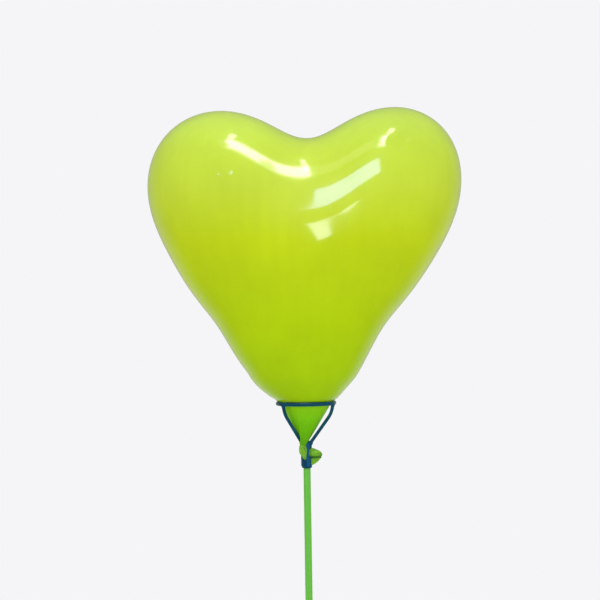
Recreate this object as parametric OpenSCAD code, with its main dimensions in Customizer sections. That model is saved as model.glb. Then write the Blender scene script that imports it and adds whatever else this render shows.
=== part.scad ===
// Heart-shaped latex balloon held in a moulded cup on a plastic stick.
// The origin is the centre of the stick's free lower end. +Z runs up the stick,
// +X is to the right and the front looks along -Y. All sizes are millimetres.

/* [Stick] */
// Length of the stick
stick_len = 400; // [250:5:500]
// Outer diameter of the stick
stick_d = 5; // [4.6:0.1:5.2]
// Bore of the stick
stick_bore_d = 3.8; // [3:0.1:4]

/* [Cup] */
// Outer diameter of the ring
ring_d = 42.2; // [41.8:0.1:44]
// Thickness of the ring, measured outwards
ring_w = 2; // [1.6:0.1:2.2]
// Height of the ring's section
ring_h = 2.8; // [2.4:0.1:3]
// Diameter of the three arms
arm_d = 2.4; // [2:0.1:2.6]
// Length of each arm's upright end under the ring
arm_drop = 7; // [5:0.5:9]
// Height of the ring's middle above the hub's lower end
cup_h = 45.5; // [44:0.5:50]
// Outer diameter of the hub
hub_d = 7.4; // [7.2:0.1:8]
// Height of the hub and its ribs
hub_h = 18.2; // [17:0.1:19]
// Depth of the socket that takes the stick
socket_depth = 7; // [6:0.5:8]

/* [Balloon] */
// Width of the blown-up heart
heart_w = 219; // [200:1:230]
// Thickness of the latex film as modelled
film = 0.2; // [0.2:0.05:0.6]
// Radius of the round seat where the heart bears on the ring
seat_r = 32.7; // [31.5:0.1:32.8]

/* [Hidden] */

$fn = 64;
EPS = 0.01;

CUP_BLUE = "#1f5563";
STICK_GREEN = "#6fc24a";
HEART_LIME = "#b9d42a";
NECK_GREEN = "#6db312";

// Stick and socket: the stick's top end is drawn in a little, and slides in the hub's socket.
END_R = stick_d / 2 - 0.2;
END_LEN = socket_depth + 0.5;
SOCKET_R = END_R + 0.03;
HUB_Z = stick_len - socket_depth;
RING_Z = HUB_Z + cup_h;

// Hub: a floor closes the socket, and three ribs stand on it with open slots between them.
HUB_FLOOR = 0.7;
HUB_EDGE = 0.8;
CAVITY_R = 2.3;
RIB_R = hub_d / 2 + 0.3;
RIB_HALF = 20;
SLOT_HALF = 37;
RIB_START = 1.4;
RIB_TURN = -74;

// Arms: each leaves its rib's top, slants outwards and turns up under the ring.
ARM_TURN = -22;
FOOT_TURN = -42;
ELBOW_EXTRA = 0.06;
ROOT_DROP = 1.2;
FOOT_R = 3.2;
FOOT_Z = hub_h - cup_h - 0.9;
BEND_R = ring_d / 2 - ring_w - 0.1;
RING_MID_R = (ring_d - ring_w) / 2;

// Heart: a smooth union of five round forms, each [x, z, half width, half depth, half height,
// tilt], measured from the middle of the ring for a heart 219 mm wide.
FORMS = [
    [-54, 151, 51, 60, 55, 41],
    [57, 149, 50, 60, 59, -34],
    [-2, 108, 82, 63, 66, 0],
    [-3, 52, 45, 45, 40, 0],
    [0, 28, 31, 31, 31, 0]
];
GROW = heart_w / 219;
BLEND = 4.4;
CORE = [0, 0, 110 * GROW];
REACH = 170 * GROW;
HALVINGS = 18;

// Seat: round about the pivot, so that the heart can lean in the ring without touching it.
PIVOT = [0, 0, 28];
SEAT_ANGLE = 46;
FREE_ANGLE = 76;
SEAT_GAP = 0.35;
THROAT_ANGLE = 175.6;
UPPER_ROWS = 22;
LOWER_ROWS = 8;
LOWER_START = 160;
HEART_SIDES = 56;

// Neck: a cone of latex inside the ring, drawn down to a thin stem at the hub's front left slot.
CONE_WALL = 0.6;
CONE = [[5.9, -19], [10.4, -12.5], [14.7, -4.2], [18, 1]];
STEM = [[-19.3, 5.8, 0, 0], [-22, 4.4, -0.5, -0.5], [-24.6, 2.9, -1.4, -1.7],
        [-26.6, 2.1, -2.1, -2.9], [-28, 1.8, -2.5, -3.4]];
STEM_SIDES = 24;

// Wound neck: a bulge in the front left slot, a strand through the hub and the flattened tail.
BULGE_AT = [-3, -3.6, -28.2];
BULGE_R = 2.6;
BULGE_H = 10.2;
WRAP_FROM = [-2, -0.9, -33.4];
WRAP_TO = [4.3, -0.5, -34];
WRAP_R = 1;
TAIL_Y = -0.9;
LOBE_SIDES = 16;

function smooth(t) = let (c = min(max(t, 0), 1)) c * c * (3 - 2 * c);

// One form's share at a point: 1 on the form's own surface, more inside it and less outside.
function form_share(p, f) =
    let (dx = p.x - f[0] * GROW, dz = p.z - f[1] * GROW,
         u = dx * cos(f[5]) + dz * sin(f[5]),
         w = dz * cos(f[5]) - dx * sin(f[5]))
    exp(BLEND * (1 - norm([u / f[2], p.y / f[3], w / f[4]]) / GROW));

function inside(p) =
    form_share(p, FORMS[0]) + form_share(p, FORMS[1]) + form_share(p, FORMS[2])
    + form_share(p, FORMS[3]) + form_share(p, FORMS[4]) > 1;

// Distance from the core to the heart's skin along a direction, by halving.
function skin(d, low, high, left) =
    left == 0 ? (low + high) / 2 :
    let (mid = (low + high) / 2)
    inside(CORE + d * mid) ? skin(d, mid, high, left - 1) : skin(d, low, mid, left - 1);

// Draws a point of the skin onto the round seat, fully below SEAT_ANGLE and not above FREE_ANGLE.
function seated(p) =
    let (v = p - PIVOT, r = norm(v), from_down = acos(-v.z / r),
         free = smooth((from_down - SEAT_ANGLE) / (FREE_ANGLE - SEAT_ANGLE)))
    PIVOT + v / r * (seat_r + (r - seat_r) * free);

function polar(turn, lean) = [sin(lean) * cos(turn), sin(lean) * sin(turn), cos(lean)];

function skin_point(d) = seated(CORE + d * skin(d, 10, REACH, HALVINGS));

// Leans of the skin's rows, from the first under the top to the throat.
LEANS = concat([for (i = [1:UPPER_ROWS]) LOWER_START * i / UPPER_ROWS],
               [for (i = [1:LOWER_ROWS]) LOWER_START + (THROAT_ANGLE - LOWER_START) * i / LOWER_ROWS]);

// One side of a closed skin: a top point, then rows of points round it.
function row_point(row, side, sides) = 1 + row * sides + side % sides;

module heart_shell() {
    sides = HEART_SIDES;
    rows = len(LEANS);
    dirs = concat([[0, 0, 1]],
                  [for (lean = LEANS) for (i = [0:sides - 1]) polar(360 * i / sides, lean)]);
    outer = [for (d = dirs) skin_point(d)];
    inner = [for (i = [0:len(dirs) - 1]) outer[i] - dirs[i] * film];
    n = len(outer);
    cap = [for (i = [0:sides - 1]) [0, row_point(0, i + 1, sides), row_point(0, i, sides)]];
    wall = [for (r = [0:rows - 2]) for (i = [0:sides - 1]) each
        let (a = row_point(r, i, sides), b = row_point(r, i + 1, sides),
             c = row_point(r + 1, i + 1, sides), d = row_point(r + 1, i, sides))
        [[a, b, c], [a, c, d]]];
    lip = [for (i = [0:sides - 1]) each
        let (a = row_point(rows - 1, i, sides), b = row_point(rows - 1, i + 1, sides))
        [[a, b, b + n], [a, b + n, a + n]]];
    skin_faces = concat(cap, wall);
    inner_faces = [for (f = skin_faces) [f[0] + n, f[2] + n, f[1] + n]];
    polyhedron(concat(outer, inner), concat(skin_faces, inner_faces, lip));
}

// A closed solid through round sections, each [z, radius, x, y], from the top one down.
module loft(sections, sides) {
    n = len(sections);
    points = [for (s = sections) for (i = [0:sides - 1])
        [s[2] + s[1] * cos(360 * i / sides), s[3] + s[1] * sin(360 * i / sides), s[0]]];
    wall = [for (r = [0:n - 2]) for (i = [0:sides - 1])
        let (j = (i + 1) % sides)
        [r * sides + i, r * sides + j, (r + 1) * sides + j, (r + 1) * sides + i]];
    top = [for (i = [sides - 1:-1:0]) i];
    base = [for (i = [0:sides - 1]) (n - 1) * sides + i];
    polyhedron(points, concat([top, base], wall));
}

// A round bar with flat ends between two points.
module bar(from, to, r) {
    v = to - from;
    translate(from) rotate([0, acos(v.z / norm(v)), atan2(v.y, v.x)]) cylinder(r = r, h = norm(v));
}

module at_ring() {
    translate([0, 0, RING_Z]) children();
}

module ring_body() {
    rotate_extrude($fn = 96) {
        for (side = [-1, 1]) {
            translate([RING_MID_R, side * (ring_h - ring_w) / 2]) circle(d = ring_w, $fn = 32);
        }
        translate([RING_MID_R - ring_w / 2, -(ring_h - ring_w) / 2]) square([ring_w, ring_h - ring_w]);
    }
}

module sector(turn, half, r, h) {
    far = r / cos(half);
    rotate([0, 0, turn]) linear_extrude(h) {
        polygon([[0, 0], [far * cos(half), -far * sin(half)], [far * cos(half), far * sin(half)]]);
    }
}

module hub_body() {
    difference() {
        union() {
            rotate_extrude() {
                polygon([[0, 0], [hub_d / 2 - HUB_EDGE, 0], [hub_d / 2 - 0.1, HUB_EDGE],
                         [hub_d / 2, hub_h], [0, hub_h]]);
            }
            for (k = [0:2]) intersection() {
                translate([0, 0, RIB_START]) cylinder(r = RIB_R, h = hub_h - RIB_START - 0.3);
                sector(RIB_TURN + 120 * k, RIB_HALF, RIB_R + 1, hub_h);
            }
        }
        translate([0, 0, -EPS]) cylinder(r = SOCKET_R, h = socket_depth + EPS);
        translate([0, 0, socket_depth + HUB_FLOOR]) cylinder(r = CAVITY_R, h = hub_h);
        for (k = [0:2]) {
            translate([0, 0, socket_depth + HUB_FLOOR]) {
                sector(RIB_TURN + 60 + 120 * k, SLOT_HALF, RIB_R + 1, hub_h);
            }
        }
    }
}

// One arm, its middle line running from the rib's top to the ring, cut back to both.
module arm_body() {
    root = [FOOT_R * cos(FOOT_TURN), FOOT_R * sin(FOOT_TURN), FOOT_Z - ROOT_DROP];
    foot = [root.x, root.y, FOOT_Z];
    bend = [BEND_R * cos(ARM_TURN), BEND_R * sin(ARM_TURN), -arm_drop];
    top = [RING_MID_R * cos(ARM_TURN), RING_MID_R * sin(ARM_TURN), 0];
    difference() {
        union() {
            bar(root, foot, arm_d / 2);
            translate(foot) sphere(d = arm_d + ELBOW_EXTRA);
            bar(foot, bend, arm_d / 2);
            translate(bend) sphere(d = arm_d + ELBOW_EXTRA);
            bar(bend, top, arm_d / 2);
        }
        ring_body();
        translate([0, 0, -cup_h]) hub_body();
    }
}

module cup_arm(k) {
    color(CUP_BLUE) at_ring() rotate([0, 0, 120 * k]) arm_body();
}

module stick() {
    color(STICK_GREEN) difference() {
        union() {
            cylinder(d = stick_d, h = stick_len - END_LEN);
            cylinder(r = END_R, h = stick_len);
        }
        translate([0, 0, -EPS]) cylinder(d = stick_bore_d, h = stick_len + 2 * EPS);
    }
}

module cup_hub() {
    color(CUP_BLUE) translate([0, 0, HUB_Z]) hub_body();
}

module cup_arm_right() {
    cup_arm(0);
}

module cup_arm_back() {
    cup_arm(1);
}

module cup_arm_left() {
    cup_arm(2);
}

module cup_ring() {
    color(CUP_BLUE) at_ring() ring_body();
}

module heart() {
    color(HEART_LIME) at_ring() heart_shell();
}

module neck_cone() {
    inner = [for (i = [len(CONE) - 1:-1:0]) [CONE[i].x - CONE_WALL, CONE[i].y]];
    color(NECK_GREEN) at_ring() rotate_extrude() difference() {
        polygon(concat(CONE, inner));
        translate([0, PIVOT.z]) circle(r = seat_r + SEAT_GAP, $fn = 128);
    }
}

module neck_stem() {
    color(NECK_GREEN) at_ring() loft(STEM, STEM_SIDES);
}

module neck_bulge() {
    color(NECK_GREEN) at_ring() translate(BULGE_AT - [0, 0, BULGE_H]) rotate_extrude() {
        polygon(concat([[0, 0]], [for (t = [0.1:0.1:1])
            [BULGE_R * pow(sin(180 * pow(t, 1.3)), 0.7), BULGE_H * t]]));
    }
}

module neck_wrap() {
    color(NECK_GREEN) at_ring() bar(WRAP_FROM, WRAP_TO, WRAP_R);
}

module tail_upper() {
    color(NECK_GREEN) at_ring() hull() {
        translate([5.5, TAIL_Y, -32.6]) sphere(r = 1.3, $fn = LOBE_SIDES);
        translate([5.4, TAIL_Y, -35.6]) sphere(r = 1.2, $fn = LOBE_SIDES);
        translate([9.2, TAIL_Y - 0.2, -35.8]) sphere(r = 0.8, $fn = LOBE_SIDES);
    }
}

module tail_lower() {
    color(NECK_GREEN) at_ring() hull() {
        translate([5.5, TAIL_Y - 0.2, -38.3]) sphere(r = 1.2, $fn = LOBE_SIDES);
        translate([8.1, TAIL_Y - 0.3, -38]) sphere(r = 0.7, $fn = LOBE_SIDES);
        translate([5.1, TAIL_Y - 0.3, -41]) sphere(r = 0.8, $fn = LOBE_SIDES);
    }
}

module rolled_lip() {
    color(NECK_GREEN) at_ring() hull() {
        translate([9.6, TAIL_Y - 0.3, -38.4]) sphere(r = 0.6, $fn = LOBE_SIDES);
        translate([5.7, TAIL_Y - 0.3, -42.4]) sphere(r = 0.6, $fn = LOBE_SIDES);
    }
}

stick();
cup_hub();
cup_arm_right();
cup_arm_left();
cup_arm_back();
cup_ring();
heart();
neck_cone();
neck_stem();
neck_bulge();
neck_wrap();
tail_upper();
tail_lower();
rolled_lip();
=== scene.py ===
# %% [markdown]
# # A heart balloon in its cup, on a stick
# The real thing is three pieces: a blown-up heart of dipped latex, a small moulded cup with a ring,
# three arms and a slotted hub, and a tube for a stick. The neck of the balloon is drawn through the
# ring and wound through the slots of the hub, so that it needs no knot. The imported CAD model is
# loaded first, because it gives every place and size. Each piece below takes its numbers from it.

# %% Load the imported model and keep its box
import math

import bmesh
import bpy
import numpy as np
from mathutils import Matrix, Vector, noise


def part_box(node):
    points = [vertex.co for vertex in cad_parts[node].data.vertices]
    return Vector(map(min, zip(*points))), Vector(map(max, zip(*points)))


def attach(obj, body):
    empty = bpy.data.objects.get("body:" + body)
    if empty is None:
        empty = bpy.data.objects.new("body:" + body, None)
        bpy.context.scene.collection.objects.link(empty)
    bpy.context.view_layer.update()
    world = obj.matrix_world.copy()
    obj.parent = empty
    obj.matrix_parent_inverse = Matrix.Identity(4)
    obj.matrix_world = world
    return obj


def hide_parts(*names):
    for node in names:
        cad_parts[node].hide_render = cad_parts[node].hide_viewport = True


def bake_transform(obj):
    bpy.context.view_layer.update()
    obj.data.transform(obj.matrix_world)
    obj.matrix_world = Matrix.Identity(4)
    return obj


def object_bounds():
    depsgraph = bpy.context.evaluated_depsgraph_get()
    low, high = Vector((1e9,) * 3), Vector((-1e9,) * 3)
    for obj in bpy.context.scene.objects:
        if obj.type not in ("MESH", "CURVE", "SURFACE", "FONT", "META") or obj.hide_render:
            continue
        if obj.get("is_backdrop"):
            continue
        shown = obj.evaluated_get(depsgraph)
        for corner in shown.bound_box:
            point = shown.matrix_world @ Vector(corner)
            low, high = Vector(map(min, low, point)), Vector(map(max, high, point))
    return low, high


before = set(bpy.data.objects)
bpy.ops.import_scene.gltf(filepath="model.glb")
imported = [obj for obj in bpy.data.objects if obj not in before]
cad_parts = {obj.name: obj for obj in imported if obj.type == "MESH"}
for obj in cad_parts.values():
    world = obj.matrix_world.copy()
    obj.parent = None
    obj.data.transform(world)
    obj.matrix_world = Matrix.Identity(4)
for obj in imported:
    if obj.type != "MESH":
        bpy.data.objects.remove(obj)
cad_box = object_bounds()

# %% [markdown]
# ## Places from the CAD model
# All the forms are worked out in millimetres from the middle of the ring, because the balloon, its
# neck and the arms all meet there. A finished mesh is moved up to the ring and scaled to metres at
# the end, so each object itself stays at the origin.

# %% Middle of the ring and the sizes read from the boxes
MM = 0.001
ring_low, ring_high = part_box("cup_ring")
hub_low, hub_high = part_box("cup_hub")
stick_low, stick_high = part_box("stick")
RING_Z = (ring_low.z + ring_high.z) / 2 / MM
RING_R = ring_high.x / MM
HUB_LOW = hub_low.z / MM - RING_Z
HUB_HIGH = hub_high.z / MM - RING_Z
STICK_R = stick_high.x / MM
STICK_TALL = stick_high.z / MM
AT_RING = (0, 0, RING_Z * MM)
print("ring at", round(RING_Z, 2), "radius", round(RING_R, 2), "hub", round(HUB_LOW, 2), round(HUB_HIGH, 2))
print("stick radius", round(STICK_R, 3), "tall", round(STICK_TALL, 2))

# %% [markdown]
# ## The camera
# A long lens keeps the round heart from swelling towards the viewer. The balloon leans a little to
# the left, so the camera is rolled by that lean and the model itself can stand upright.

# %% Camera
LEAN = math.radians(0.9)
CAMERA_X, CAMERA_Y, CAMERA_Z = -0.00306, -1.4, 0.5107
camera_data = bpy.data.cameras.new("camera")
camera_data.lens = 120
camera_data.sensor_width = 36
camera_data.clip_start = 0.05
camera = bpy.data.objects.new("camera", camera_data)
bpy.context.scene.collection.objects.link(camera)
camera.matrix_world = Matrix((
    (math.cos(LEAN), math.sin(LEAN), 0, CAMERA_X),
    (0, 0, -1, CAMERA_Y),
    (-math.sin(LEAN), math.cos(LEAN), 0, CAMERA_Z),
    (0, 0, 0, 1)))
bpy.context.scene.camera = camera
bpy.context.scene.view_settings.view_transform = "Standard"
print("camera", tuple(round(c, 4) for c in camera.location))

# %% [markdown]
# ## Light
# Stretched latex is a glossy skin, so most of what the eye reads on it is the shape of the lights.
# A strip overhead draws the white arc over the left lobe and down into the dip, and its far end
# leaves a white tip on the right lobe. A window-like panel in front, high and a little to the left,
# gives the cooler patch on the right slope, and a small one under it the short bright mark below.
# A heart has two lobes, so a light can show twice. Small grey cloths, called flags, are hung near
# the skin where the second mark would be. Two wide soft lights only brighten the matt colour.

# %% A light placed by turn and height as the heart sees it
HEART_FACE = Vector((0.01, -0.055, 0.585))


def linear(code):
    """An sRGB hex colour as linear red, green, blue and alpha."""
    parts = [int(code[i:i + 2], 16) / 255 for i in (1, 3, 5)]
    return [c / 12.92 if c <= 0.04045 else ((c + 0.055) / 1.055) ** 2.4 for c in parts] + [1]


def toward(turn, height):
    """The direction that is so far round to the right and so far up, in degrees."""
    turn, height = math.radians(turn), math.radians(height)
    level = math.cos(height)
    return Vector((math.sin(turn) * level, -math.cos(turn) * level, math.sin(height)))


def panel_light(name, turn, height, far, size, glow, tint="#FFFFFF", roll=0, mirrored=True):
    """A flat light that faces the heart. It is either mirrored in the gloss or lights the matt colour."""
    data = bpy.data.lights.new(name, "AREA")
    data.shape = "RECTANGLE"
    data.size, data.size_y = size
    data.energy = glow * math.pi * size[0] * size[1]
    data.color = linear(tint)[:3]
    panel = bpy.data.objects.new(name, data)
    bpy.context.scene.collection.objects.link(panel)
    away = toward(turn, height)
    placed = Matrix.Translation(HEART_FACE + away * far)
    turned = away.to_track_quat("Z", "Y").to_matrix().to_4x4()
    panel.matrix_world = placed @ turned @ Matrix.Rotation(math.radians(roll), 4, "Z")
    panel.visible_camera = False
    panel.visible_glossy = mirrored
    panel.visible_diffuse = not mirrored
    print("light", name, "radiance", glow)
    return panel


print("lights face", tuple(round(c, 3) for c in HEART_FACE))

# %% The lights: degrees to the right, degrees up, distance and size in metres, radiance
strip = panel_light("strip_core", 36.7, 69.9, 0.434, (0.105, 0.215), 11, roll=42.7)
panel_light("strip_edge", 36.7, 69.9, 0.444, (0.155, 0.265), 3.5, roll=42.7)
panel_light("strip_end", 36.9, 84.4, 1.02, (0.11, 0.36), 8, roll=-55)
panel_light("ceiling_band", -43.1, 73.6, 0.180, (0.080, 0.045), 0.9, roll=50.3)
window = panel_light("window_top", -14.6, 37.5, 0.774, (0.277, 0.300), 11, "#B6B8FF", roll=23.5)
panel_light("window_foot", 5.3, -4.2, 0.120, (0.048, 0.015), 9, "#EEE6FF", roll=-70.5)
panel_light("soft_top", 0, 70, 2.0, (1.6, 1.6), 0.8, mirrored=False)
panel_light("soft_front", 10, 20, 2.4, (2.0, 2.0), 0.7, mirrored=False)

# %% [markdown]
# ## Surroundings
# The camera sees one plain pale tone. Soft light comes from a bright room on all sides, a little
# more from above. Mirror-like rays see a dimmer room in front and a pale wall behind, as when dark
# cloths are hung round the camera, so that the gloss doesn't wash out the colour of the latex and
# its edges still go pale.

# %% World
def add_node(tree, kind, inputs=None, stops=(), **settings):
    """Adds one shader node, sets its settings and ramp stops, and fills or links its inputs."""
    node = tree.nodes.new("ShaderNode" + kind)
    for name, value in settings.items():
        setattr(node, name, value)
    for i, (position, colour) in enumerate(stops):
        ramp = node.color_ramp.elements
        element = ramp[i] if i < len(ramp) else ramp.new(position)
        element.position, element.color = position, linear(colour)
    for socket, value in (inputs or {}).items():
        if isinstance(value, bpy.types.NodeSocket):
            tree.links.new(value, node.inputs[socket])
        else:
            node.inputs[socket].default_value = value
    return node


world = bpy.data.worlds.new("pale_room")
bpy.context.scene.world = world
world.use_nodes = True
tree = world.node_tree
tree.nodes.clear()
sky = add_node(tree, "TexCoord")
height = add_node(tree, "SeparateXYZ", {0: sky.outputs["Generated"]})
rise = add_node(tree, "MapRange", {"Value": height.outputs["Z"], "From Min": -1.0, "From Max": 1.0})
glow = add_node(tree, "ValToRGB", {"Fac": rise.outputs["Result"]},
    stops=[(0.0, "#C4C4BE"), (0.45, "#CFCFCC"), (0.62, "#D6D8D8"), (1.0, "#DADBDB")])
mirrored = add_node(tree, "ValToRGB", {"Fac": rise.outputs["Result"]},
    stops=[(0.0, "#0C0C0C"), (0.45, "#1A1A1A"), (0.62, "#505454"), (0.8, "#8A8E8E"), (1.0, "#A2A6A6")])
seen = add_node(tree, "Background", {"Color": linear("#F5F5F7"), "Strength": 1.0})
lit = add_node(tree, "Background", {"Color": glow.outputs["Color"], "Strength": 1.42})
behind = add_node(tree, "MapRange", {"Value": height.outputs["Y"], "From Min": 0.3, "From Max": 1.0},
                  interpolation_type="SMOOTHSTEP")
back_wall = add_node(tree, "ValToRGB", {"Fac": rise.outputs["Result"]},
    stops=[(0.3, "#D8DCCC"), (0.5, "#A8AE9A"), (0.75, "#8E9684")])
around = add_node(tree, "Mix", {
    0: behind.outputs["Result"], 6: mirrored.outputs["Color"], 7: back_wall.outputs["Color"]},
    data_type="RGBA")
shine = add_node(tree, "Background", {"Color": around.outputs[2], "Strength": 1.0})
ray = add_node(tree, "LightPath")
glossy = add_node(tree, "MixShader", {
    0: ray.outputs["Is Glossy Ray"], 1: lit.outputs[0], 2: shine.outputs[0]})
mixed = add_node(tree, "MixShader", {
    0: ray.outputs["Is Camera Ray"], 1: glossy.outputs[0], 2: seen.outputs[0]})
add_node(tree, "OutputWorld", {"Surface": mixed.outputs[0]})
world.cycles.sampling_method = "NONE"  # these tones change so slowly that rays find them unaided
print("world nodes", len(tree.nodes))

# %% [markdown]
# ## The floor
# The stick's foot is at height zero, and a plain pale disc lies under it.

# %% Floor
def finished(bm, name, place=(0, 0, 0), scale=1.0):
    """Turns a bmesh into an object at the origin, with its place in its mesh."""
    bmesh.ops.scale(bm, vec=(scale,) * 3, verts=bm.verts)
    bmesh.ops.translate(bm, vec=place, verts=bm.verts)
    mesh = bpy.data.meshes.new(name)
    bm.to_mesh(mesh)
    bm.free()
    for face in mesh.polygons:
        face.use_smooth = True
    piece = bpy.data.objects.new(name, mesh)
    bpy.context.scene.collection.objects.link(piece)
    return piece


def new_material(name):
    """An empty material with nodes, and its node tree."""
    material = bpy.data.materials.new(name)
    material.use_nodes = True
    material.node_tree.nodes.clear()
    return material, material.node_tree


FLOOR_R, FLOOR_DROP = 1.2, 0.0005
bm = bmesh.new()
bmesh.ops.create_circle(bm, cap_ends=True, segments=96, radius=FLOOR_R)
floor = finished(bm, "floor", (0, 0, -FLOOR_DROP))
floor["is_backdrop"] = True
floor_paint, tree = new_material("matt_floor_paint")
grain = add_node(tree, "TexNoise", {"Scale": 40.0, "Detail": 3.0})
tone = add_node(tree, "ValToRGB", {"Fac": grain.outputs[0]}, stops=[(0.3, "#E6E6E8"), (0.7, "#EBEBEC")])
coat = add_node(tree, "BsdfPrincipled", {"Base Color": tone.outputs["Color"], "Roughness": 0.7})
add_node(tree, "OutputMaterial", {"Surface": coat.outputs[0]})
floor.data.materials.append(floor_paint)
floor.visible_glossy = False
print("floor radius", FLOOR_R, "m")

# %% [markdown]
# ## The grey flags
# Each flag is a small disc between one place on the skin and the light that would be mirrored
# there. Only mirror-like rays see it, and its grey is the grey of the room behind it.

# %% Flags
def grey_flag(name, spot, panel, part, radius, tone):
    """A disc that is part of the way from a spot on the skin to a light."""
    bm = bmesh.new()
    bmesh.ops.create_circle(bm, cap_ends=True, segments=48, radius=radius)
    to_light = panel.matrix_world.translation - spot
    place = spot + to_light * part
    bmesh.ops.transform(bm, matrix=to_light.to_track_quat("Z", "Y").to_matrix().to_4x4(), verts=bm.verts)
    flag = finished(bm, name, place)
    flag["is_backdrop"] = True
    cloth, tree = new_material(name + "_cloth")
    grey = add_node(tree, "Emission", {"Color": linear(tone)})
    add_node(tree, "OutputMaterial", {"Surface": grey.outputs[0]})
    flag.data.materials.append(cloth)
    flag.visible_camera = flag.visible_diffuse = flag.visible_transmission = False
    print(name, "at", tuple(round(c, 3) for c in place))


grey_flag("left_flag", Vector((-0.055, -0.060, 0.603)), window, 0.08, 0.021, "#8E9292")
grey_flag("right_flag", Vector((0.070, -0.052, 0.616)), strip, 0.15, 0.022, "#9B9F9F")

# %% [markdown]
# ## The heart
# A heart balloon is one dipped skin, so every bulge flows into the next. It could be carved from a
# ball by hand, but a smooth union of five round forms gives the same flow: two tilted lobes, a wide
# chest, a lower body and a small round seat. A fine ball of triangles is sent outwards from the
# middle until each point meets the skin of that union. Its base is then drawn onto a round seat
# about the point where the heart leans, so the ring and the skin never part.

# %% The five forms and the skin they share
# Each form: x and z, half its width, depth and height, in mm from the ring, and its tilt in degrees.
FORMS = [
    (-54, 151, 51, 60, 55, 41),
    (57, 149, 50, 60, 59, -34),
    (-2, 108, 82, 63, 66, 0),
    (-3, 52, 45, 45, 40, 0),
    (0, 28, 31, 31, 31, 0)]
BLEND = 4.4  # how crisply the forms meet: more is crisper
CORE = np.array([0, 0, 110.0])  # where the rays start
PIVOT = np.array([0, 0, 28.0])  # where the heart leans
SEAT_R = 33.1
FREE = (46, 76)  # degrees up from straight down: on the seat until the first, free of it after the second
SWELL, SWELL_STARTS, SWELL_GROWS, SWELL_FADES = 2.6, 42, 14, (58, 84)  # mm of swelling, then the same degrees
RAY_SHORT, RAY_LONG, HALVINGS = 10.0, 170.0, 34


def share(points):
    """How much of the forms is at each point: 1 on the skin, more inside and less outside."""
    total = np.zeros(len(points))
    for x, z, wide, deep, tall, tilt in FORMS:
        c, s = math.cos(math.radians(tilt)), math.sin(math.radians(tilt))
        dx, dz = points[:, 0] - x, points[:, 2] - z
        u, v, w = (dx * c + dz * s) / wide, points[:, 1] / deep, (dz * c - dx * s) / tall
        total += np.exp(BLEND * (1 - np.sqrt(u * u + v * v + w * w)))
    return total


def ease(value, start, end):
    """A smooth rise from 0 at the start to 1 at the end."""
    t = np.clip((value - start) / (end - start), 0, 1)
    return t * t * (3 - 2 * t)


def skin_points(rays):
    """Where each ray from the core meets the skin. The base is drawn onto the round seat, and the
    rubber swells over the left side of the ring."""
    low, high = np.full(len(rays), RAY_SHORT), np.full(len(rays), RAY_LONG)
    for _ in range(HALVINGS):
        middle = (low + high) / 2
        inside = share(CORE + rays * middle[:, None]) > 1
        low, high = np.where(inside, middle, low), np.where(inside, high, middle)
    away = CORE + rays * low[:, None] - PIVOT
    reach = np.linalg.norm(away, axis=1)
    from_down = np.degrees(np.arccos(np.clip(-away[:, 2] / reach, -1, 1)))
    free = ease(from_down, *FREE)
    leftwards = np.clip(-away[:, 0] / np.hypot(away[:, 0], away[:, 1]).clip(1e-6), 0, 1) ** 2
    past_ring = np.clip(from_down - SWELL_STARTS, 0, None)
    swell = SWELL * leftwards * (1 - np.exp(-past_ring / SWELL_GROWS)) * (1 - ease(from_down, *SWELL_FADES))
    return PIVOT + away * ((SEAT_R + (reach - SEAT_R) * free + swell) / reach)[:, None]


print("forms", len(FORMS), "seat radius", SEAT_R)

# %% The heart's mesh
bm = bmesh.new()
bmesh.ops.create_icosphere(bm, subdivisions=7, radius=1)
rays = np.array([v.co for v in bm.verts])
rays /= np.linalg.norm(rays, axis=1)[:, None]
for vert, point in zip(bm.verts, skin_points(rays)):
    vert.co = point
bmesh.ops.recalc_face_normals(bm, faces=bm.faces)
print("heart triangles", len(bm.faces))
heart = finished(bm, "heart_skin", AT_RING, MM)
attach(heart, "heart")
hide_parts("heart")

# %% [markdown]
# ## The neck
# Inside the ring the skin runs down to a narrow stem at the front left slot of the hub. The rubber
# is less stretched here, so it gathers into fine lengthwise pleats that get deeper as it narrows.
# A disc is pushed out row by row along that line. The first rows lie just inside the heart's round
# seat and the last ones inside the wound bulge, so no edge shows.

# %% Rows of the neck: height, radius and the middle's x and y
def smooth_through(table, at):
    """Smooth values between the rows of a table, whose first column falls steadily."""
    table = np.array(table, float)[::-1]
    keys, values = table[:, 0], table[:, 1:]
    slopes = np.gradient(values, keys, axis=0)
    i = np.clip(np.searchsorted(keys, at) - 1, 0, len(keys) - 2)
    gap = (keys[i + 1] - keys[i])[:, None]
    t = (at - keys[i])[:, None] / gap
    a, b = values[i], values[i + 1]
    return (a * (1 + 2 * t) * (1 - t) ** 2 + slopes[i] * gap * t * (1 - t) ** 2
            + b * t * t * (3 - 2 * t) + slopes[i + 1] * gap * t * t * (t - 1))


NECK = [
    (0.5, 18.4, 0, 0), (-4.2, 15.5, -0.2, 0), (-8.5, 13.0, -0.35, 0), (-12.5, 10.75, -0.6, 0),
    (-16, 8.8, -0.8, 0), (-19, 7.1, -1.0, -0.2), (-22, 5.4, -1.25, -0.6), (-24.6, 3.95, -1.5, -1.5),
    (-26.6, 2.95, -1.8, -2.5), (-28.4, 2.3, -2.3, -3.2), (-30.6, 1.9, -2.8, -3.6)]
NECK_SIDES = 180
NECK_ROWS = 84


def pleats(turn, depth):
    """An uneven set of lengthwise pleats, as a share of the radius."""
    return depth * (0.5 * np.sin(9 * turn + 0.7) + 0.32 * np.sin(16 * turn + 2.1)
                    + 0.2 * np.sin(23 * turn + 4.0) + 0.12 * np.sin(37 * turn + 1.2))


print("neck from", NECK[0][0], "to", NECK[-1][0])

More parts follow.
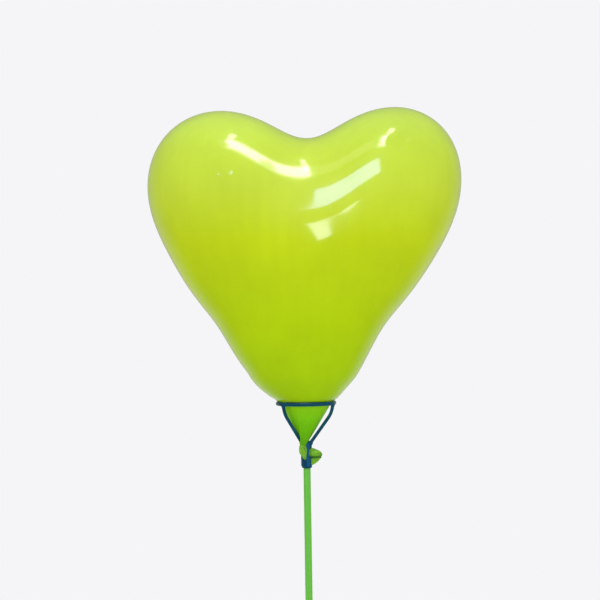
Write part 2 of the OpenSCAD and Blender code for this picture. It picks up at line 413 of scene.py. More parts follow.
# %% The neck's mesh
def row_out(bm, edges):
    """Pushes a ring of edges out by one row and returns the new edges."""
    out = bmesh.ops.extrude_edge_only(bm, edges=edges)["geom"]
    return [e for e in out if isinstance(e, bmesh.types.BMEdge)]


def place_row(edges, spot):
    """Puts each corner of a row where spot(corner) says."""
    for vert in {v for e in edges for v in e.verts}:
        vert.co = spot(vert)


bm = bmesh.new()
bmesh.ops.create_circle(bm, cap_ends=True, cap_tris=True, segments=NECK_SIDES, radius=1)
turn_of = bm.verts.layers.float.new("turn")
for vert in bm.verts:
    vert[turn_of] = math.atan2(vert.co.y, vert.co.x)
centre = next(v for v in bm.verts if len(v.link_edges) == NECK_SIDES)
edge = [e for e in bm.edges if e.is_boundary]
UNDER_SEAT = SEAT_R - 0.12  # just inside the heart's skin
centre.co = Vector((0, 0, PIVOT[2] - UNDER_SEAT))
for i, radius in enumerate((2.0, 5.0, 9.0, 13.0, 16.0, 17.7)):
    if i:
        edge = row_out(bm, edge)
    level = PIVOT[2] - math.sqrt(UNDER_SEAT ** 2 - radius ** 2)
    place_row(edge, lambda v: Vector((radius * math.cos(v[turn_of]), radius * math.sin(v[turn_of]), level)))
heights = np.linspace(NECK[0][0], NECK[-1][0], NECK_ROWS)
for z, (radius, x, y) in zip(heights, smooth_through(NECK, heights)):
    edge = row_out(bm, edge)
    narrowing = max(0.0, min(1.0, (-z - 6) / 22))
    depth = 0.004 + 0.09 * narrowing ** 2.2
    twist = 0.5 * max(0.0, (-z - 12) / 19) ** 1.5

    def spot(v):
        turn = v[turn_of]
        r = radius * (1 + float(pleats(turn + twist, depth)))
        return Vector((x + r * math.cos(turn), y + r * math.sin(turn), z))

    place_row(edge, spot)
bmesh.ops.holes_fill(bm, edges=edge, sides=0)
bmesh.ops.triangulate(bm, faces=[f for f in bm.faces if len(f.verts) > 4])
bmesh.ops.recalc_face_normals(bm, faces=bm.faces)
print("neck faces", len(bm.faces))
neck = finished(bm, "neck_skin", AT_RING, MM)
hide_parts("neck_cone", "neck_stem")
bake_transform(neck)

# %% [markdown]
# ## The wound neck
# Past the ring the rubber is slack. It fills the front left slot as a drop-shaped bulge, crosses
# the hub as a strand, and comes out on the right as a flattened tail that is folded once and ends
# in the rolled mouth. Slack latex keeps small soft creases, so each form gets folds that run the
# way it was pulled.

# %% The bulge in the front left slot
def fold_noise(point, size, seed):
    """Soft uneven height at a point, from -1 to 1, with bumps of about this size in mm."""
    return noise.noise(Vector(point) / size + Vector((seed, seed * 1.7, -seed)))


BULGE = [  # height, radius and the middle's x and y
    (-27.6, 1.5, -2.6, -3.5), (-28.6, 2.1, -2.75, -3.6), (-30, 2.6, -2.75, -3.65), (-31.8, 2.8, -2.7, -3.7),
    (-33.8, 2.65, -2.5, -3.65), (-35.8, 2.35, -2.1, -3.5), (-37.6, 1.9, -1.6, -3.4), (-39.4, 1.5, -1.3, -3.3)]
BULGE_TOP, BULGE_FOOT = BULGE[0][0], BULGE[-1][0]
bm = bmesh.new()
bmesh.ops.create_uvsphere(bm, u_segments=96, v_segments=64, radius=1)
painted_shade = bm.verts.layers.float.new("painted_shade")
for vert in bm.verts:
    lean = math.acos(max(-1, min(1, vert.co.z)))
    turn = math.atan2(vert.co.y, vert.co.x)
    z = BULGE_TOP - (BULGE_TOP - BULGE_FOOT) * (1 - math.cos(lean)) / 2
    radius, x, y = smooth_through(BULGE, np.array([z]))[0]
    radius *= math.sin(lean) ** 0.55
    fold = 0.06 * math.sin(3 * turn - 0.9 * (z + 30)) + 0.04 * math.sin(7 * turn + 0.8 * z)
    crease = -0.14 * math.exp(-((turn + 0.95 + 0.10 * (z + 31)) / 0.3) ** 2)
    deep = math.exp(-((z + 32) / 4.5) ** 2)
    radius *= 1 + fold * 0.8 + crease * deep
    # painted shade: darker in the bulge's crease and fold hollows, and towards its lower end where it tucks
    # under the hub
    vert[painted_shade] = min(1.0, max(0.0, -crease * 3 * deep - fold * 1.5) + 0.4 * ease(-z, 35.5, 39.5))
    vert.co = Vector((x + radius * math.cos(turn), y + radius * math.sin(turn), z))
bmesh.ops.recalc_face_normals(bm, faces=bm.faces)
bulge = finished(bm, "bulge_in_slot", AT_RING, MM)
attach(bulge, "cup")
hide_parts("neck_bulge")
print("bulge faces", len(bulge.data.polygons))

# %% [markdown]
# A rod, strand or bead is one round section pushed along a path. Corners of the path are eased into
# curves first, because neither rubber nor moulded plastic turns a sharp corner.

# %% A section pushed along a path
def eased(points, roundings, steps=10):
    """A path through the points with each inner corner rounded over its own distance."""
    points = [Vector(p) for p in points]
    path = [points[0]]
    for before, corner, after, far in zip(points, points[1:], points[2:], roundings):
        a = corner + (before - corner).normalized() * far
        b = corner + (after - corner).normalized() * far
        for i in range(steps + 1):
            t = i / steps
            path.append(a * (1 - t) ** 2 + corner * 2 * t * (1 - t) + b * t * t)
    path.append(points[-1])
    return path


def evenly(path, step):
    """Points a step apart along a path."""
    lengths = [0.0]
    for a, b in zip(path, path[1:]):
        lengths.append(lengths[-1] + (b - a).length)
    count = max(3, round(lengths[-1] / step))
    at = np.linspace(0, lengths[-1], count + 1)
    columns = [np.interp(at, lengths, [p[k] for p in path]) for k in range(3)]
    return [Vector(p) for p in zip(*columns)]


def sweep(bm, path, radius_at, sides=28):
    """Pushes a round section along a path and closes both ends."""
    last = len(path) - 1
    tangents = [(path[min(i + 1, last)] - path[max(i - 1, 0)]).normalized() for i in range(len(path))]
    side = tangents[0].orthogonal().normalized()
    before = set(bm.verts)
    bmesh.ops.create_circle(bm, cap_ends=True, segments=sides, radius=1)
    ring = [v for v in bm.verts if v not in before]
    angles = {v: math.atan2(v.co.y, v.co.x) for v in ring}
    edges = [e for e in bm.edges if e.verts[0] in angles and e.verts[1] in angles]
    for i, (point, along) in enumerate(zip(path, tangents)):
        side = (side - along * side.dot(along)).normalized()
        up = along.cross(side)
        if i:
            old = {v: v.co.copy() for e in edges for v in e.verts}
            out = bmesh.ops.extrude_edge_only(bm, edges=edges)["geom"]
            edges = [e for e in out if isinstance(e, bmesh.types.BMEdge)]
            fresh = {v for e in edges for v in e.verts}
            close = {tuple(round(c, 6) for c in old[v]): angles[v] for v in old}
            angles = {v: close[tuple(round(c, 6) for c in v.co)] for v in fresh}
        t = i / last
        for v, a in angles.items():
            r = radius_at(t, a)
            v.co = point + side * (r * math.cos(a)) + up * (r * math.sin(a))
    bmesh.ops.holes_fill(bm, edges=edges, sides=0)


print("a corner rounded in", len(eased([(0, 0, 0), (4, 0, 0), (4, 4, 0)], (2,))), "points")

# %% The strand through the hub
STRAND = [(-2.6, -2.6, -33.3), (-1.2, -0.8, -33.5), (2.4, -0.5, -33.9), (5.2, -1.0, -34.3)]


def strand_radius(t, a):
    """The strand's radius, with two soft folds wound along it."""
    return 1.02 + 0.10 * math.sin(3 * a + 7 * t) + 0.06 * math.sin(7 * a - 5 * t)


bm = bmesh.new()
sweep(bm, evenly(eased(STRAND, (1.2, 1.6)), 0.18), strand_radius, 36)
bmesh.ops.recalc_face_normals(bm, faces=bm.faces)
strand = finished(bm, "strand_through_hub", AT_RING, MM)
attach(strand, "cup")
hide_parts("neck_wrap")
print("strand faces", len(strand.data.polygons))

# %% [markdown]
# The tail is rubber pressed flat. Each fold starts as a flat outline that is extruded to its
# thickness, and a subdivision surface swells it into a soft lobe. Pleats then fan out from where
# the strand leaves the hub.

# %% The two folds of the tail
EXIT_X, EXIT_Z = 1.5, -35.2  # where the strand leaves the hub
CREASE_Z = -37.6  # the deep crease between the two folds


def soft_lobe(name, outline, y, thick, node, pleat_depth, seed):
    """A swollen flat lobe from an outline in x and z, with pleats that fan out from the hub, and painted
    shade in its pleats, along the crease and near the hub.
    """
    bm = bmesh.new()
    corners = [bm.verts.new((x, y - thick / 2, z)) for x, z in outline]
    face = bm.faces.new(corners)
    out = bmesh.ops.extrude_face_region(bm, geom=[face])["geom"]
    bmesh.ops.translate(bm, vec=(0, thick, 0), verts=[v for v in out if isinstance(v, bmesh.types.BMVert)])
    for flat in [f for f in bm.faces if len(f.verts) > 4]:
        bmesh.ops.inset_individual(bm, faces=[flat], thickness=0.9, depth=0.25)
    bmesh.ops.recalc_face_normals(bm, faces=bm.faces)
    rough = finished(bm, name + "_rough")
    soften = rough.modifiers.new("soften", "SUBSURF")
    soften.levels = soften.render_levels = 4
    depsgraph = bpy.context.evaluated_depsgraph_get()
    bm = bmesh.new()
    bm.from_mesh(rough.evaluated_get(depsgraph).to_mesh())
    bpy.data.objects.remove(rough)
    painted_shade = bm.verts.layers.float.new("painted_shade")
    for vert in bm.verts:
        x, _, z = vert.co
        turn = math.atan2(z - EXIT_Z, x - EXIT_X)
        far = min(1.0, math.hypot(x - EXIT_X, z - EXIT_Z) / 4)
        push = pleat_depth * far * (math.sin(9 * turn + seed) + 0.6 * math.sin(17 * turn + 2 * seed))
        push += 0.12 * fold_noise(vert.co, 2.4, seed)
        # painted shade, kept per corner: deeper in the pleat hollows, in and round the crease between the
        # folds, and where the lobe meets the hub
        between = math.exp(-((z - CREASE_Z) / 0.62) ** 2)
        shade_at_hub = 0.45 * (1 - ease(x, 2.6, 4.6))
        shade_near_crease = 0.45 * ease(-z, 34.8, 37.4) * (1 - ease(-z, 37.8, 39.2))
        vert[painted_shade] = min(1.0, max(0.0, push / pleat_depth * 0.2) + between + shade_at_hub + shade_near_crease)
        vert.co.y += push if vert.co.y < y else push * 0.8
    bmesh.ops.triangulate(bm, faces=[f for f in bm.faces if len(f.verts) > 4])
    bmesh.ops.recalc_face_normals(bm, faces=bm.faces)
    piece = finished(bm, name, AT_RING, MM)
    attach(piece, "cup")
    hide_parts(node)
    print(name, "faces", len(piece.data.polygons))
    return piece


UPPER_OUTLINE = [
    (0.9, -32.8), (3.2, -30.7), (6.6, -32.2), (9.9, -33.6),
    (11.5, -36.4), (9.3, -38.3), (6.0, -38.1), (1.0, -37.9)]
LOWER_OUTLINE = [
    (1.2, -37.2), (6.2, -37.1), (10.9, -37.2), (9.9, -38.9),
    (6.9, -41.3), (4.0, -43.9), (2.2, -42.8), (1.2, -40.2)]
upper_fold = soft_lobe("tail_upper_fold", UPPER_OUTLINE, -1.9, 3.8, "tail_upper", 0.07, 1.3)
lower_fold = soft_lobe("tail_lower_fold", LOWER_OUTLINE, -0.7, 2.7, "tail_lower", 0.05, 2.6)

# %% [markdown]
# The mouth of every latex balloon is rolled into a bead. Pressed flat, the ring of the bead becomes
# a long narrow loop at the end of the tail. A round section is spun into a small hoop, and the hoop
# is then pulled long.

# %% The rolled mouth
def hoop(bm, middle_r, section, steps):
    """Spins a section about Z. The section is a list of distances outwards and heights."""
    corners = [bm.verts.new((middle_r + x, 0, z)) for x, z in section]
    loop = [bm.edges.new((a, b)) for a, b in zip(corners, corners[1:] + corners[:1])]
    bmesh.ops.spin(bm, geom=corners + loop, cent=(0, 0, 0), axis=(0, 0, 1), angle=2 * math.pi, steps=steps,
                   use_merge=True, use_duplicate=False)
    bmesh.ops.remove_doubles(bm, verts=bm.verts, dist=1e-5)


BEAD_R, BEAD_SIDES, HOOP_R = 0.55, 18, 2.0
HALF_LONG, HALF_WIDE = 2.55, 0.52
LIP_A, LIP_B = Vector((9.1, 0, -38.4)), Vector((4.6, 0, -42.4))  # the two ends of the flattened loop
bm = bmesh.new()
bead_turns = [2 * math.pi * i / BEAD_SIDES for i in range(BEAD_SIDES)]
hoop(bm, HOOP_R, [(BEAD_R * math.cos(a), BEAD_R * math.sin(a)) for a in bead_turns], 88)
lip_mid, lip_along = (LIP_A + LIP_B) / 2, (LIP_A - LIP_B).normalized()
lip_out = Vector((lip_along.z, 0, -lip_along.x))
for vert in bm.verts:
    x, y, z = vert.co
    turn = math.atan2(y, x)
    core = Vector((HOOP_R * math.cos(turn), HOOP_R * math.sin(turn), 0))
    off = Vector((x, y, z)) - core
    off *= 1 + 0.14 * math.sin(11 * turn) + 0.10 * math.sin(5 * turn + 1)
    along = core.x / HOOP_R * HALF_LONG + off.x
    across = core.y / HOOP_R * HALF_WIDE + off.y
    bow = 0.35 * (1 - (core.x / HOOP_R) ** 2)
    vert.co = lip_mid + lip_along * along + Vector((0, across - 1.3, 0)) + lip_out * (off.z + bow)
bmesh.ops.recalc_face_normals(bm, faces=bm.faces)
lip = finished(bm, "rolled_mouth", AT_RING, MM)
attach(lip, "cup")
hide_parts("rolled_lip")
print("mouth faces", len(lip.data.polygons))

# %% [markdown]
# ## The cup
# The cup is one small injection moulding. The ring is a rounded band with a fine parting line left
# by the two halves of the mould. A stadium-shaped section is spun once round to make it.

# %% The ring
BAND_R, HALF_STRAIGHT, BAND_STEPS = 1.0, 0.4, 28
section = []
for i in range(BAND_STEPS):
    a = 2 * math.pi * (i + 0.5) / BAND_STEPS
    section.append((BAND_R * math.cos(a), BAND_R * math.sin(a) + math.copysign(HALF_STRAIGHT, math.sin(a))))
LINE_PROUD, LINE_HALF = 0.055, 0.16
section[0] = (section[0][0] + 0.02, LINE_HALF)
section[-1] = (section[-1][0] + 0.02, -LINE_HALF)
section.insert(0, (BAND_R + LINE_PROUD, 0.0))
bm = bmesh.new()
hoop(bm, RING_R - BAND_R, section, 168)
bmesh.ops.recalc_face_normals(bm, faces=bm.faces)
ring = finished(bm, "cup_hoop", AT_RING, MM)
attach(ring, "cup")
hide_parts("cup_ring")
print("ring faces", len(ring.data.polygons), "radius", RING_R)

# %% [markdown]
# Each arm rises out of a rib of the hub, slants outwards and turns up under the ring with a soft
# elbow. Moulded arms are never stuck on with a sharp corner, so each end swells into a fillet.

# %% The three arms
ARM_TURN, FOOT_TURN = -22, -42
FOOT_R, FOOT_Z = 3.2, HUB_HIGH - 0.9
BEND_R, DROP = RING_R - 2.1, 7.0
ROD_R, ROD_STEP = 1.18, 0.4


def arm(name, k, node):
    """One arm, turned by k thirds about the stick's line."""
    def around(r, turn, z):
        turn = math.radians(turn + 120 * k)
        return Vector((r * math.cos(turn), r * math.sin(turn), z))

    corners = [around(FOOT_R, FOOT_TURN, FOOT_Z - 2.6), around(FOOT_R, FOOT_TURN, FOOT_Z),
               around(BEND_R, ARM_TURN, -DROP), around(RING_R - BAND_R, ARM_TURN, -0.8)]
    path = evenly(eased(corners, (2.0, 4.2)), ROD_STEP)
    tall = len(path) * ROD_STEP

    def radius(t, a):
        from_top, from_foot = (1 - t) * tall, t * tall
        top_fillet = 0.55 * math.exp(-from_top / 0.9)
        foot_fillet = 0.42 * math.exp(-((from_foot - 3.0) / 1.3) ** 2)
        return ROD_R + top_fillet + foot_fillet

    bm = bmesh.new()
    sweep(bm, path, radius, 32)
    bmesh.ops.recalc_face_normals(bm, faces=bm.faces)
    piece = finished(bm, name, AT_RING, MM)
    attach(piece, "cup")
    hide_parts(node)
    print(name, "faces", len(piece.data.polygons))
    return piece


arms = [arm("arm_right_rod", 0, "cup_arm_right"), arm("arm_back_rod", 1, "cup_arm_back"),
        arm("arm_left_rod", 2, "cup_arm_left")]

# %% [markdown]
# The hub is a socket below and an open crown above. Its lower part is one profile spun all the way
# round, with the socket for the stick bored up into it. The crown is three short wall pieces with
# open slots between them, each backed by a rib. They are made from a section spun through a part
# turn and bevelled, because a mould gives every edge a small radius.

# %% The hub
def part_turn(bm, section, middle, half, round_off, steps=14):
    """A section spun through a part turn, closed at both ends, with its edges rounded."""
    piece = bmesh.new()
    start = math.radians(middle - half)
    corners = [piece.verts.new((r * math.cos(start), r * math.sin(start), z)) for r, z in section]
    face = piece.faces.new(corners)
    bmesh.ops.spin(piece, geom=[face], cent=(0, 0, 0), axis=(0, 0, 1), angle=math.radians(2 * half),
                   steps=steps, use_merge=False, use_duplicate=False)
    bmesh.ops.remove_doubles(piece, verts=piece.verts, dist=1e-5)
    bmesh.ops.recalc_face_normals(piece, faces=piece.faces)
    sharp = [e for e in piece.edges if len(e.link_faces) == 2 and e.calc_face_angle() > math.radians(40)]
    bmesh.ops.bevel(piece, geom=sharp, offset=round_off, offset_type="OFFSET", affect="EDGES", segments=3,
                    profile=0.5, material=-1, clamp_overlap=True)
    bmesh.ops.remove_doubles(piece, verts=piece.verts, dist=0.004)
    bmesh.ops.recalc_face_normals(piece, faces=piece.faces)
    mesh = bpy.data.meshes.new("part")
    piece.to_mesh(mesh)
    piece.free()
    bm.from_mesh(mesh)
    bpy.data.meshes.remove(mesh)


HUB_R, SOCKET_R, CROWN_R = 3.7, 2.33, 2.3
CROWN_FROM, CROWN_TURN = 7.2, -74
RIB_R, RIB_FROM = HUB_R + 0.34, 1.4
profile = [
    (0, 7.0), (2.1, 7.0), (SOCKET_R, 6.8), (SOCKET_R, 3.0), (SOCKET_R, 0.0), (2.75, 0.0), (3.1, 0.12),
    (3.42, 0.42), (3.56, 0.85), (HUB_R - 0.06, 3.5), (HUB_R - 0.02, 7.2), (HUB_R - 0.12, 7.72), (2.9, 7.78),
    (0, 7.74)]
bm = bmesh.new()
corners = [bm.verts.new((r, 0, z)) for r, z in profile]
line = [bm.edges.new((a, b)) for a, b in zip(corners, corners[1:])]
bmesh.ops.spin(bm, geom=corners + line, cent=(0, 0, 0), axis=(0, 0, 1), angle=2 * math.pi, steps=96,
               use_merge=True, use_duplicate=False)
bmesh.ops.remove_doubles(bm, verts=bm.verts, dist=1e-4)
bmesh.ops.recalc_face_normals(bm, faces=bm.faces)
tall = HUB_HIGH - HUB_LOW
for k in range(3):
    middle = CROWN_TURN + 120 * k
    wall = [(CROWN_R, CROWN_FROM), (HUB_R, CROWN_FROM), (HUB_R, tall), (CROWN_R, tall)]
    part_turn(bm, wall, middle, 23, 0.28)
    rib = [(3.3, RIB_FROM), (RIB_R, RIB_FROM), (RIB_R, tall - 0.1), (3.3, tall - 0.1)]
    part_turn(bm, rib, middle, 20, 0.24)
on_rib = bm.verts.layers.float.new("rib")
for vert in bm.verts:
    vert[on_rib] = 1.0 if math.hypot(vert.co.x, vert.co.y) > HUB_R + 0.08 else 0.0
hub = finished(bm, "slotted_hub", (0, 0, (RING_Z + HUB_LOW) * MM), MM)
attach(hub, "cup")
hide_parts("cup_hub")
print("hub faces", len(hub.data.polygons))

# %% [markdown]
# ## The stick
# The stick is a length of extruded tube. Its foot is cut square and the knife leaves a tiny round
# at the rim. Its top is drawn in a little so that it slides into the socket. One closed profile,
# spun all the way round, gives the outside, the ends and the bore together.

# %% The stick
END_R, END_LEN, BORE_R = STICK_R - 0.2, 7.5, 1.9
END_Z = STICK_TALL - END_LEN
outside = [(STICK_R - 0.18, 0.0), (STICK_R - 0.05, 0.06), (STICK_R, 0.2)]
outside += [(STICK_R, z) for z in np.linspace(0.2, END_Z - 0.15, 24)[1:]]
outside += [(STICK_R - 0.04, END_Z - 0.03), (END_R, END_Z + 0.12)]
outside += [(END_R, STICK_TALL - 0.25), (END_R - 0.1, STICK_TALL)]
bore = [(BORE_R + 0.08, STICK_TALL), (BORE_R, STICK_TALL - 0.1), (BORE_R, 0.1), (BORE_R + 0.08, 0.0)]
bm = bmesh.new()
corners = [bm.verts.new((r, 0, z)) for r, z in outside + bore]
loop = [bm.edges.new((a, b)) for a, b in zip(corners, corners[1:] + corners[:1])]
bmesh.ops.spin(bm, geom=corners + loop, cent=(0, 0, 0), axis=(0, 0, 1), angle=2 * math.pi, steps=72,
               use_merge=True, use_duplicate=False)
bmesh.ops.remove_doubles(bm, verts=bm.verts, dist=1e-4)
bmesh.ops.recalc_face_normals(bm, faces=bm.faces)
stick = finished(bm, "stick_tube", (0, 0, 0), MM)
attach(stick, "stick")
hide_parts("stick")
print("stick faces", len(stick.data.polygons))

# %% [markdown]
# ## Blown-up latex
# Natural rubber latex, dipped on a former and then stretched thin by air. Stretching thins the
# colour, so the rubber near the ring keeps a fuller green. The lobes and upper chest are paler and a
# little bluer partly for that reason and partly as painted light: painted haze of the gloss round the
# highlights and painted light from above.
# The film is smooth and glossy, glows a little from within, and goes milky where the eye looks
# along it. The dip leaves soft vertical runs about 7 mm wide, faint clouds a few centimetres across
# where the film is a little thicker, and a ripple of some 18 mm that makes the gloss waver.

# %% Latex of the heart
def every(mm):
    """The noise scale that repeats about once in so many millimetres."""
    return 1 / (mm * MM)


HEART_TALL = 207
heart_latex, tree = new_material("dipped_latex_blown_up")
here = add_node(tree, "TexCoord").outputs["Object"]
place = add_node(tree, "SeparateXYZ", {0: here})
up = add_node(tree, "MapRange", {
    "Value": place.outputs["Z"], "From Min": RING_Z * MM, "From Max": (RING_Z + HEART_TALL) * MM})
# painted light in part: the paler, bluer upper stops stand for the haze of gloss round the highlights and the
# stronger light from above; the fuller green low down is less stretched rubber
height_tone = add_node(tree, "ValToRGB", {"Fac": up.outputs["Result"]}, stops=[
    (0.0, "#9FCC00"), (0.08, "#ADD300"), (0.28, "#B9D700"), (0.55, "#C7DC14"),
    (0.72, "#CAE03C"), (0.85, "#C8E23E"), (1.0, "#C8E652")])
run_place = add_node(tree, "Mapping", {"Vector": here, "Scale": (every(6.667), every(6.667), every(100))})
runs = add_node(tree, "TexNoise", {"Vector": run_place.outputs[0], "Scale": 1.0, "Detail": 2.0})
run_tone = add_node(tree, "ValToRGB", {"Fac": runs.outputs[0]}, stops=[(0.3, "#FBFBFA"), (0.7, "#FFFFFF")])
cloud = add_node(tree, "TexNoise", {"Vector": here, "Scale": every(35.71), "Detail": 2.0})
cloud_tone = add_node(tree, "ValToRGB", {"Fac": cloud.outputs[0]}, stops=[
    (0.35, "#F9F9F5"), (0.65, "#FFFFFF")])
streaked = add_node(tree, "Mix", {0: 1.0, 6: height_tone.outputs["Color"], 7: run_tone.outputs["Color"]},
                    data_type="RGBA", blend_type="MULTIPLY")
clouded = add_node(tree, "Mix", {0: 1.0, 6: streaked.outputs[2], 7: cloud_tone.outputs["Color"]},
                   data_type="RGBA", blend_type="MULTIPLY")
ripple = add_node(tree, "TexNoise", {"Vector": here, "Scale": every(18.18), "Detail": 1.0})
skin = add_node(tree, "Bump", {"Height": ripple.outputs[0], "Strength": 0.05, "Distance": 0.0015})
latex = add_node(tree, "BsdfPrincipled", {
    "Base Color": clouded.outputs[2], "Roughness": 0.27, "IOR": 1.52, "Specular IOR Level": 0.1,
    "Subsurface Weight": 0.2, "Subsurface Radius": (0.6, 1.0, 0.1), "Subsurface Scale": 0.012,
    "Coat Weight": 0.85, "Coat Roughness": 0.08, "Coat IOR": 1.52,
    "Sheen Weight": 0.04, "Sheen Roughness": 0.3, "Sheen Tint": linear("#FAFFE8"), "Normal": skin.outputs[0],
    "Coat Normal": skin.outputs[0]})
add_node(tree, "OutputMaterial", {"Surface": latex.outputs[0]})
heart.data.materials.append(heart_latex)
print("heart material nodes", len(tree.nodes))

# %% [markdown]
# ## Latex of the neck
# The same rubber, hardly stretched. It is a deeper green with a satin gloss, and its pleats carry
# fine stretch lines that run down to the stem. The real lines are finer than half a millimetre, and
# they are drawn two thirds of a millimetre apart so that they show.

# %% Latex of the neck
neck_latex, tree = new_material("dipped_latex_gathered")
here = add_node(tree, "TexCoord").outputs["Object"]
place = add_node(tree, "SeparateXYZ", {0: here})
up = add_node(tree, "MapRange", {
    "Value": place.outputs["Z"], "From Min": (RING_Z - 30) * MM, "From Max": RING_Z * MM})
height_tone = add_node(tree, "ValToRGB", {"Fac": up.outputs["Result"]}, stops=[
    (0.0, "#5AA008"), (0.25, "#68B600"), (0.6, "#78C600"), (1.0, "#92D200")])
line_place = add_node(tree, "Mapping", {
    "Vector": here, "Scale": (every(0.6667), every(0.6667), every(11.11))})
lines = add_node(tree, "TexNoise", {"Vector": line_place.outputs[0], "Scale": 1.0, "Detail": 3.0})
line_tone = add_node(tree, "ValToRGB", {"Fac": lines.outputs[0]}, stops=[(0.32, "#F1F5E2"), (0.6, "#FFFFFF")])
lined = add_node(tree, "Mix", {0: 1.0, 6: height_tone.outputs["Color"], 7: line_tone.outputs["Color"]},
                 data_type="RGBA", blend_type="MULTIPLY")
skin = add_node(tree, "Bump", {"Height": lines.outputs[0], "Strength": 0.25, "Distance": 0.0003})
latex = add_node(tree, "BsdfPrincipled", {
    "Base Color": lined.outputs[2], "Roughness": 0.45, "IOR": 1.52, "Specular IOR Level": 0.08,
    "Subsurface Weight": 0.25, "Subsurface Radius": (0.3, 1.0, 0.05), "Subsurface Scale": 0.003,
    "Coat Weight": 0.12, "Coat Roughness": 0.25, "Coat IOR": 1.5, "Normal": skin.outputs[0]})
add_node(tree, "OutputMaterial", {"Surface": latex.outputs[0]})
neck.data.materials.append(neck_latex)
print("neck material nodes", len(tree.nodes))

# %% [markdown]
# ## Slack latex
# Where nothing stretches it, dipped rubber is matt, a little chalky and full of small creases. The
# creases are about a millimetre apart, and their colour follows their bumps: painted light on the
# crests and painted shade in the hollows. Chalky patches are some 4 mm across. Each piece also carries
# its own painted-shade value, high in its folds and creases and near the hub, and there the colour is
# mixed towards a dark green as painted shade.

# %% Slack latex
slack_latex, tree = new_material("dipped_latex_slack")
here = add_node(tree, "TexCoord").outputs["Object"]
crease_place = add_node(tree, "Mapping", {
    "Vector": here, "Scale": (every(1.111), every(1.111), every(0.7692))})
crease = add_node(tree, "TexNoise", {
    "Vector": crease_place.outputs[0], "Scale": 1.0, "Detail": 4.0, "Distortion": 0.8})
# painted light and shade: the crease colour is paler on the crests and darker in the hollows of the same
# noise that bumps it
crease_shade_tone = add_node(tree, "ValToRGB", {"Fac": crease.outputs[0]}, stops=[
    (0.28, "#65A018"), (0.5, "#7ABA20"), (0.75, "#8CC838")])
patches = add_node(tree, "TexNoise", {"Vector": here, "Scale": every(4.167), "Detail": 1.0})
patch_tone = add_node(tree, "ValToRGB", {"Fac": patches.outputs[0]}, stops=[
    (0.35, "#EEF4DC"), (0.65, "#FFFFFF")])
creased = add_node(tree, "Mix", {0: 1.0, 6: crease_shade_tone.outputs["Color"], 7: patch_tone.outputs["Color"]},
                   data_type="RGBA", blend_type="MULTIPLY")
shade_mask = add_node(tree, "Attribute", attribute_name="painted_shade")
# painted shade: the colour is mixed towards dark green where the painted-shade value is high
folded = add_node(tree, "Mix", {0: shade_mask.outputs["Fac"], 6: creased.outputs[2], 7: linear("#336E0C")},
                  data_type="RGBA")
skin = add_node(tree, "Bump", {"Height": crease.outputs[0], "Strength": 0.35, "Distance": 0.0003})
latex = add_node(tree, "BsdfPrincipled", {
    "Base Color": folded.outputs[2], "Roughness": 0.45, "IOR": 1.5, "Specular IOR Level": 0.3,
    "Subsurface Weight": 0.15, "Subsurface Radius": (0.4, 1.0, 0.1), "Subsurface Scale": 0.001,
    "Sheen Weight": 0.15, "Sheen Roughness": 0.5, "Sheen Tint": linear("#F4FFE8"), "Normal": skin.outputs[0]})
add_node(tree, "OutputMaterial", {"Surface": latex.outputs[0]})
for piece in (bulge, strand, upper_fold, lower_fold, lip):
    piece.data.materials.append(slack_latex)
print("slack material nodes", len(tree.nodes))

# %% [markdown]
# ## Moulded polypropylene
# The cup is dark teal polypropylene from a polished mould. It shines softly, with faint cloudy flow
# marks that are some 6 mm wide and drawn out to 14 mm. A fine grain breaks up its highlights. The real
# grain is under a tenth of a millimetre, and it is drawn at four tenths so that it shows. The ring and
# arms get a greener teal than the hub: painted green bounce light from the balloon. The ribs are a
# shade lighter than the wall between them: painted light on the ribs and painted shade on the wall.

# %% Moulded cup plastic
cup_plastic, tree = new_material("moulded_polypropylene_teal")
here = add_node(tree, "TexCoord").outputs["Object"]
place = add_node(tree, "SeparateXYZ", {0: here})
hub_top = RING_Z + HUB_HIGH
up = add_node(tree, "MapRange", {
    "Value": place.outputs["Z"], "From Min": (hub_top - 6) * MM, "From Max": (hub_top + 8) * MM})
flow_place = add_node(tree, "Mapping", {"Vector": here, "Scale": (every(5.556), every(5.556), every(14.29))})
flow = add_node(tree, "TexNoise", {
    "Vector": flow_place.outputs[0], "Scale": 1.0, "Detail": 3.0, "Distortion": 0.6})
# painted light and shade: the wall between the ribs is darker as painted shade, the ribs lighter as painted
# light
wall_shade_tone = add_node(tree, "ValToRGB", {"Fac": flow.outputs[0]}, stops=[(0.3, "#0E3C56"), (0.7, "#134A68")])
rib_lit_tone = add_node(tree, "ValToRGB", {"Fac": flow.outputs[0]}, stops=[(0.3, "#144E74"), (0.7, "#1A5C86")])
ribs = add_node(tree, "Attribute", attribute_name="rib")
hub_tone = add_node(tree, "Mix", {
    0: ribs.outputs["Fac"], 6: wall_shade_tone.outputs["Color"], 7: rib_lit_tone.outputs["Color"]}, data_type="RGBA")
# painted bounce light: the ring and arms above the hub get a greener teal, as if lit green by the balloon
arm_bounce_tone = add_node(tree, "ValToRGB", {"Fac": flow.outputs[0]}, stops=[(0.3, "#0C4256"), (0.7, "#12536A")])
tone = add_node(tree, "Mix", {0: up.outputs["Result"], 6: hub_tone.outputs[2], 7: arm_bounce_tone.outputs["Color"]},
                data_type="RGBA")
gloss = add_node(tree, "MapRange", {"Value": flow.outputs[0], "To Min": 0.1, "To Max": 0.2})
grain = add_node(tree, "TexNoise", {"Vector": here, "Scale": every(0.3846), "Detail": 2.0})
skin = add_node(tree, "Bump", {"Height": grain.outputs[0], "Strength": 0.12, "Distance": 0.00012})
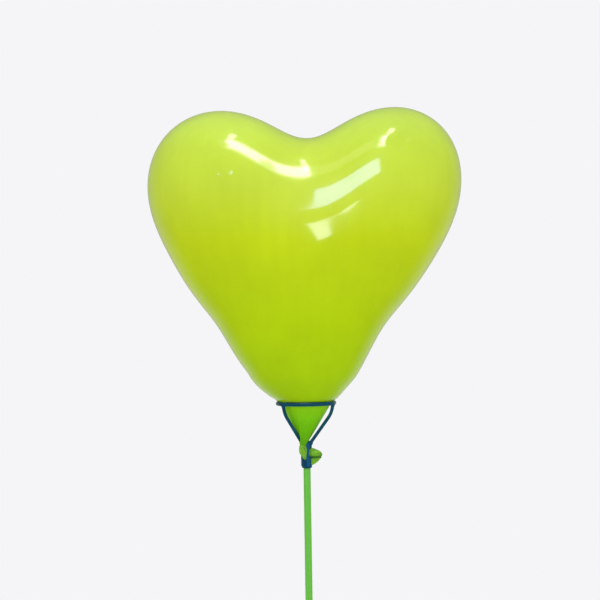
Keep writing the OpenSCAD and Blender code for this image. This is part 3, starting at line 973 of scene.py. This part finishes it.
plastic = add_node(tree, "BsdfPrincipled", {
    "Base Color": tone.outputs[2], "Roughness": gloss.outputs["Result"], "IOR": 1.49,
    "Subsurface Weight": 0.05, "Subsurface Radius": (0.2, 0.8, 1.0), "Subsurface Scale": 0.001,
    "Normal": skin.outputs[0]})
add_node(tree, "OutputMaterial", {"Surface": plastic.outputs[0]})
for piece in [ring, hub] + arms:
    piece.data.materials.append(cup_plastic)
print("cup material nodes", len(tree.nodes))

# %% [markdown]
# ## Extruded polypropylene
# The stick is light green polypropylene drawn through a die. The die leaves very fine lines along
# its length, so highlights run down it in soft streaks. The real lines are a tenth of a millimetre
# apart or less, and they are drawn at four tenths so that they show.

# %% Extruded stick plastic
stick_plastic, tree = new_material("extruded_polypropylene_green")
here = add_node(tree, "TexCoord").outputs["Object"]
drawn_place = add_node(tree, "Mapping", {
    "Vector": here, "Scale": (every(0.4167), every(0.4167), every(111.1))})
drawn = add_node(tree, "TexNoise", {"Vector": drawn_place.outputs[0], "Scale": 1.0, "Detail": 2.0})
drawn_tone = add_node(tree, "ValToRGB", {"Fac": drawn.outputs[0]}, stops=[(0.3, "#63BA3A"), (0.7, "#72C84A")])
gloss = add_node(tree, "MapRange", {"Value": drawn.outputs[0], "To Min": 0.3, "To Max": 0.42})
skin = add_node(tree, "Bump", {"Height": drawn.outputs[0], "Strength": 0.15, "Distance": 0.0001})
plastic = add_node(tree, "BsdfPrincipled", {
    "Base Color": drawn_tone.outputs["Color"], "Roughness": gloss.outputs["Result"], "IOR": 1.49,
    "Subsurface Weight": 0.3, "Subsurface Radius": (0.4, 1.0, 0.3), "Subsurface Scale": 0.002,
    "Normal": skin.outputs[0]})
add_node(tree, "OutputMaterial", {"Surface": plastic.outputs[0]})
stick.data.materials.append(stick_plastic)
print("stick material nodes", len(tree.nodes))

# %% [markdown]
# ## Close up
# The two boxes are written down side by side, so that the made pieces can be held against the CAD
# model.

# %% Sizes of the two boxes
made_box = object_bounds()
for name, box in (("cad", cad_box), ("made", made_box)):
    print(name, [[round(x, 4) for x in c] for c in box])
